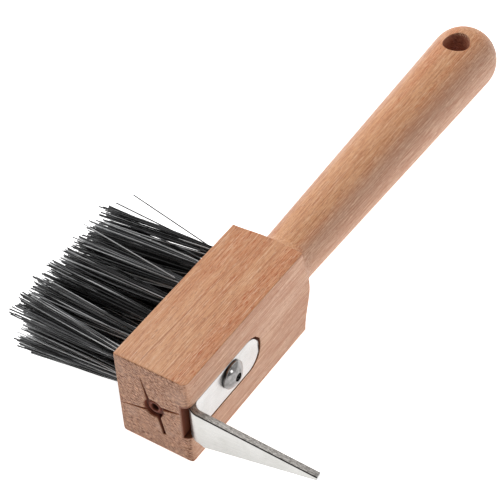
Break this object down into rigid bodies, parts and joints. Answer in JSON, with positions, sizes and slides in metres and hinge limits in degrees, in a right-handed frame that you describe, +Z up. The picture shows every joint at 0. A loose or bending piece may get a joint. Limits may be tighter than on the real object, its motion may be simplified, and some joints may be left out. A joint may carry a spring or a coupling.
{
  "type": "hoof pick brush",
  "caption": "Beech block brush with a turned handle and hang hole, stiff dark bristle tufts on one side and a riveted bent steel hoof pick on the other.",
  "frame": {"origin": "centre of the block's broad lower face, which the brush lies on", "axes": "+X from the nose along the turned handle, +Y toward the bristles, -Y toward the pick, +Z up through the block"},
  "size_m": [0.258, 0.1379, 0.0432],
  "materials": {
    "beech": "satin",
    "pick_steel": "satin",
    "rivet_steel": "polished",
    "mandrel_steel": "matte",
    "bristle": "matte",
    "staple_wire": "matte"
  },
  "bodies": {
    "root": {"block_and_handle": "beech", "pick": "pick_steel", "rivet_body": "rivet_steel", "rivet_mandrel": "mandrel_steel", "tuft_row1_1": "bristle", "tuft_row1_2": "bristle", "tuft_row1_3": "bristle", "tuft_row1_4": "bristle", "tuft_row1_5": "bristle", "tuft_row1_6": "bristle", "tuft_row1_7": "bristle", "tuft_row2_1": "bristle", "tuft_row2_2": "bristle", "tuft_row2_3": "bristle", "tuft_row2_4": "bristle", "tuft_row2_5": "bristle", "tuft_row2_6": "bristle", "tuft_row3_1": "bristle", "tuft_row3_2": "bristle", "tuft_row3_3": "bristle", "tuft_row3_4": "bristle", "tuft_row3_5": "bristle", "tuft_row3_6": "bristle", "tuft_row3_7": "bristle", "tuft_row4_1": "bristle", "tuft_row4_2": "bristle", "tuft_row4_3": "bristle", "tuft_row4_4": "bristle", "tuft_row4_5": "bristle", "tuft_row4_6": "bristle", "staple_row1_1": "staple_wire", "staple_row1_2": "staple_wire", "staple_row1_3": "staple_wire", "staple_row1_4": "staple_wire", "staple_row1_5": "staple_wire", "staple_row1_6": "staple_wire", "staple_row1_7": "staple_wire", "staple_row2_1": "staple_wire", "staple_row2_2": "staple_wire", "staple_row2_3": "staple_wire", "staple_row2_4": "staple_wire", "staple_row2_5": "staple_wire", "staple_row2_6": "staple_wire", "staple_row3_1": "staple_wire", "staple_row3_2": "staple_wire", "staple_row3_3": "staple_wire", "staple_row3_4": "staple_wire", "staple_row3_5": "staple_wire", "staple_row3_6": "staple_wire", "staple_row3_7": "staple_wire", "staple_row4_1": "staple_wire", "staple_row4_2": "staple_wire", "staple_row4_3": "staple_wire", "staple_row4_4": "staple_wire", "staple_row4_5": "staple_wire", "staple_row4_6": "staple_wire"}
  },
  "joints": []
}
